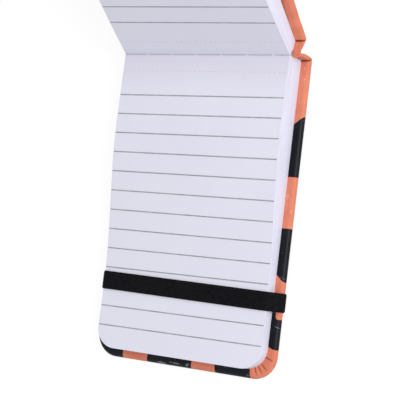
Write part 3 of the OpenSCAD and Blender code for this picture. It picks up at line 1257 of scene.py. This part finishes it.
@dataclass
class Cover:
    """One cover: board wrapped in printed leatherette, with its endpaper."""

    half: Half
    body: str
    stem: str
    finish: Finish
    start: float = 7.0
    corner_steps: int = 54
    rim_steps: int = 8
    pleats: tuple[float, ...] = (9.0, 43.0, 61.0, 79.0)
    pleat_depth: float = 0.85
    pleat_width: float = 2.6
    pleat_reach: tuple[float, float] = (3.4, 7.6)
    pleat_bend: float = 10.0
    pleat_low: float = 1.2
    insets: tuple[float, ...] = (0.35, 0.5, 0.6, 0.7, 0.8, 0.9)
    paper_lift: float = 0.07
    paper_thickness: float = 0.3

    def pleat(self, vertex: bmesh.types.BMVert) -> float:
        """Returns how far a vertex near a foot corner sinks into a pleat of the turned-in edge."""
        centre = Vector((math.copysign(SIZES.half_cover - SIZES.cover_corner, vertex.co.x),
                         SIZES.cover_far - SIZES.cover_corner))
        arm = Vector((abs(vertex.co.x) - abs(centre.x), vertex.co.y - centre.y))
        top = -self.half.case_depth
        near, far = self.pleat_reach
        share = (arm.length - near) / (far - near)
        if min(arm) < -1 or vertex.co.z < top - self.pleat_low or not 0 < share < 1:
            return 0.0
        angle = math.degrees(math.atan2(arm.y, arm.x))
        angle += self.pleat_bend * (share - 0.5) * (arm.y / 4 - 1)
        crease = max(math.exp(-((angle - p) / self.pleat_width) ** 2) for p in self.pleats)
        return self.pleat_depth * crease * math.sin(math.pi * share) ** 0.7

    def case(self) -> bpy.types.Object:
        """Builds the wrapped board with its full round rim and the pleats at its corners."""
        bench = Bench(f"{self.stem}_cover_leather")
        mesh = bench.mesh
        base = -self.half.case_depth - SIZES.cover_thickness
        face = bench.slab(SIZES.half_cover, self.start, SIZES.cover_far, SIZES.cover_corner, base,
                          self.corner_steps)
        made = bmesh.ops.extrude_face_region(mesh, geom=[face])["geom"]
        lifted = [g for g in made if isinstance(g, bmesh.types.BMVert)]
        bmesh.ops.translate(mesh, vec=(0, 0, SIZES.cover_thickness), verts=lifted)
        rims = [e for e in mesh.edges
                if abs(e.verts[0].co.z - e.verts[1].co.z) < 0.01
                and max(v.co.y for v in e.verts) > self.start + 0.01]
        bmesh.ops.bevel(mesh, geom=rims, offset=SIZES.cover_thickness / 2 - 0.01,
                        offset_type="OFFSET", segments=self.rim_steps, profile=0.5,
                        affect="EDGES", material=-1)
        bmesh.ops.recalc_face_normals(mesh, faces=mesh.faces)
        for height in (base, base + SIZES.cover_thickness):
            flat = [f for f in mesh.faces
                    if all(abs(v.co.z - height) < 0.005 for v in f.verts)]
            for inset in self.insets:
                bmesh.ops.inset_region(mesh, faces=flat, thickness=inset, use_even_offset=True)
        for vertex in mesh.verts:
            vertex.co -= vertex.normal * self.pleat(vertex)
        made = bench.piece(self.half, self.finish, "coral_leatherette", 40.0)
        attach(made, self.body)
        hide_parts(*(f"{self.stem}_cover_{part}" for part in ("wrap", "print", "board")))
        return made

    def endpaper(self) -> bpy.types.Object:
        """Pastes the endpaper inside the cover."""
        bench = Bench(f"{self.stem}_endpaper_sheet")
        top = -self.half.case_depth + self.paper_lift
        face = bench.slab(SIZES.half_cover - SIZES.turn_in,
                          SIZES.strip_foot(self.half.case_depth) + SIZES.board_gap,
                          SIZES.cover_far - SIZES.turn_in,
                          SIZES.cover_corner - SIZES.turn_in, top, 4)
        made = bmesh.ops.extrude_face_region(bench.mesh, geom=[face])["geom"]
        lowered = [g for g in made if isinstance(g, bmesh.types.BMVert)]
        bmesh.ops.translate(bench.mesh, vec=(0, 0, -self.paper_thickness), verts=lowered)
        made = bench.piece(self.half, Finish.ENDPAPER, "endpaper", 30.0)
        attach(made, self.body)
        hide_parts(f"{self.stem}_endpaper")
        return made

    def build(self) -> None:
        """Builds the wrapped board and the endpaper."""
        self.case()
        self.endpaper()


@dataclass
class ElasticBand:
    """The woven elastic, taut round the back half."""

    ribs: int = 8
    rib_depth: float = 0.12
    edge_round: float = 0.26
    skew: float = 0.010
    shift: float = 0.5
    page_round: float = 0.8
    cover_round: float = 1.0
    sink: float = 0.03
    turn_steps: int = 12
    flat_steps: int = 10
    slit_bends: tuple[tuple[float, float, float], ...] = ((0.9, 1.3, 0.7), (0.3, 0.62, 0.35))

    def path(self) -> list[tuple[float, float, float]]:
        """Returns x, z and the direction away from the loop along the band's middle."""
        mid = SIZES.band_thickness / 2
        lower = Vector((SIZES.half_cover - self.cover_round,
                        SIZES.band_thickness + self.cover_round))
        upper = Vector((SIZES.page_width / 2 - self.page_round,
                        SIZES.cover_thickness + SIZES.back_pressed - self.page_round))
        span = upper - lower
        tilt = (math.atan2(span.y, span.x)
                - math.acos((self.cover_round - self.page_round) / span.length))
        slit = SIZES.half_cover - SIZES.slit_inset
        side = [(slit - back, z, -math.pi / 2 - turn) for back, z, turn in self.slit_bends]
        run = lower.x - slit
        side += [(slit + run * k / 4, mid - self.sink, -math.pi / 2) for k in range(1, 4)]
        for k in range(self.turn_steps + 1):
            angle = -math.pi / 2 + (tilt + math.pi / 2) * k / self.turn_steps
            reach = self.cover_round + mid
            side.append((lower.x + reach * math.cos(angle),
                         lower.y + reach * math.sin(angle) - (self.sink if k < 2 else 0), angle))
        for k in range(self.turn_steps + 1):
            angle = tilt + (math.pi / 2 - tilt) * k / self.turn_steps
            reach = self.page_round + mid
            side.append((upper.x + reach * math.cos(angle), upper.y + reach * math.sin(angle),
                         angle))
        top = upper.y + self.page_round + mid
        middle = [(upper.x * (1 - k / self.flat_steps), top, math.pi / 2)
                  for k in range(1, 2 * self.flat_steps)]
        mirrored = [(-x, z, math.pi - angle) for x, z, angle in reversed(side)]
        return side + middle + mirrored

    def build(self) -> bpy.types.Object:
        """Sweeps the ribbed section along the loop."""
        path = self.path()
        lengths = [0.0]
        for (x0, z0, _), (x1, z1, _) in zip(path, path[1:]):
            lengths.append(lengths[-1] + math.hypot(x1 - x0, z1 - z0))
        count = 2 * self.ribs + 1
        middle_y = SIZES.gutter_y - SIZES.band_at - self.shift

        def where(station: int, index: int) -> tuple[Vector, float, float]:
            """Returns a point of the band's section at a station."""
            x, z, angle = path[station]
            over = index < count
            slot = index if over else 2 * count - 1 - index
            share = slot / (count - 1) * 2 - 1
            edge = self.edge_round * (1 if slot in (0, count - 1) else 0)
            thick = SIZES.band_thickness / 2 - edge - (self.rib_depth if slot % 2 else 0) * over
            out = thick if over else -thick
            across = SIZES.band_width / 2 * share
            away = Vector((math.cos(angle), 0, math.sin(angle)))
            point = Vector((x, middle_y - across - self.skew * x, z)) + away * out
            return point, lengths[station], across

        bench = Bench("elastic_loop")
        bench.sweep(len(path), 2 * count, where)
        made = bench.piece(None, Finish.ELASTIC, "black_elastic", 60.0, "weave")
        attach(made, "back_half")
        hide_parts("elastic_band")
        return made


@dataclass
class Studio:
    """White floor, soft light and the camera of the photograph."""

    focal_pixels: float = 1160.62
    camera_at: tuple[float, float, float] = (212.047, -25.475, 364.554)
    right: tuple[float, float, float] = (0.864087, 0.119195, -0.489026)
    down: tuple[float, float, float] = (0.071035, -0.990711, -0.11596)
    forward: tuple[float, float, float] = (-0.498305, 0.065461, -0.864527)
    sensor: float = 36.0
    white: Colour = (1.0, 1.0, 1.0, 1.0)
    floor_reach: float = 4.0
    floor_drop: float = 0.00006
    floor_tone: float = 0.8
    floor_shaded: float = 0.16
    floor_glow: float = 0.88
    world_level: float = 0.6
    key_level: float = 0.62
    key_from: tuple[float, float, float] = (0.76, 0.08, 0.64)
    key_distance: float = 0.9
    key_size: float = 0.55

    def camera(self) -> None:
        """Makes the camera at the photograph's place."""
        data = bpy.data.cameras.new("camera")
        data.sensor_width = self.sensor
        data.lens = self.focal_pixels * self.sensor / IMAGE_SIDE
        data.clip_start, data.clip_end = 0.01, 20.0
        made = bpy.data.objects.new("camera", data)
        turn = Matrix((self.right, -Vector(self.down), -Vector(self.forward))).transposed()
        made.matrix_world = Matrix.Translation(Vector(self.camera_at) * MM) @ turn.to_4x4()
        bpy.context.scene.collection.objects.link(made)
        bpy.context.scene.camera = made

    @staticmethod
    def seen(graph: Graph) -> Term:
        """Returns 1 for the rays that show the backdrop itself, and 0 for the others."""
        path = graph.node("ShaderNodeLightPath")
        kinds = [Term(graph, path.outputs[f"Is {kind} Ray"])
                 for kind in ("Camera", "Glossy", "Transmission")]
        return kinds[0].high(kinds[1]).high(kinds[2])

    def floor(self) -> None:
        """Makes the white floor, which keeps a soft shadow."""
        bench = bmesh.new()
        bmesh.ops.create_grid(bench, x_segments=1, y_segments=1, size=self.floor_reach,
                              matrix=Matrix.Translation((0, 0, -self.floor_drop)))
        data = bpy.data.meshes.new("floor")
        bench.to_mesh(data)
        bench.free()
        made = bpy.data.objects.new("floor", data)
        bpy.context.scene.collection.objects.link(made)
        graph = Graph(bpy.data.materials.new("white_floor"))
        plain, shaded = (
            graph.node("ShaderNodeBsdfDiffuse", None, {"Color": (tone, tone, tone, 1)})
            for tone in (self.floor_tone, self.floor_shaded))
        glow = graph.node("ShaderNodeEmission", None,
                          {"Color": self.white, "Strength": self.floor_glow})
        both = graph.node("ShaderNodeAddShader", None,
                          {0: shaded.outputs[0], 1: glow.outputs[0]})
        mixed = graph.node("ShaderNodeMixShader", None, {
            0: self.seen(graph), 1: plain.outputs[0], 2: both.outputs[0]})
        graph.node("ShaderNodeOutputMaterial", None, {"Surface": mixed.outputs[0]})
        data.materials.append(graph.owner)

    def light(self) -> None:
        """Makes the even light of the room and one large lamp from the right."""
        world = bpy.data.worlds.new("studio")
        bpy.context.scene.world = world
        graph = Graph(world)
        room, backdrop = (
            graph.node("ShaderNodeBackground", None, {"Color": self.white, "Strength": level})
            for level in (self.world_level, 1.0))
        mixed = graph.node("ShaderNodeMixShader", None, {
            0: self.seen(graph), 1: room.outputs[0], 2: backdrop.outputs[0]})
        graph.node("ShaderNodeOutputWorld", None, {"Surface": mixed.outputs[0]})

        lamp = bpy.data.lights.new("key", "AREA")
        lamp.shape = "DISK"
        lamp.size = self.key_size
        lamp.energy = self.key_level * (math.pi * self.key_distance) ** 2
        made = bpy.data.objects.new("key", lamp)
        toward = Vector(self.key_from).normalized()
        made.location = toward * self.key_distance
        made.rotation_mode = "QUATERNION"
        made.rotation_quaternion = toward.to_track_quat("Z", "Y")
        bpy.context.scene.collection.objects.link(made)

    def build(self) -> None:
        """Sets the studio up."""
        bpy.context.scene.view_settings.view_transform = "Standard"
        self.camera()
        self.floor()
        self.light()


def main() -> None:
    """Builds the studio and the journal, piece by piece."""
    logging.basicConfig(level=logging.INFO, format="%(name)s: %(message)s")
    Studio().build()
    PageStack(BACK, "back", 11).build()
    PageStack(FRONT, "front", 23).build()
    FoldStrip().build()
    SpineLeather().build()
    Cover(BACK, "back_half", "back", Finish.BACK_COVER).build()
    Cover(FRONT, "front_cover", "front", Finish.FRONT_COVER).build()
    ElasticBand().build()


if __name__ == "__main__":
    main()
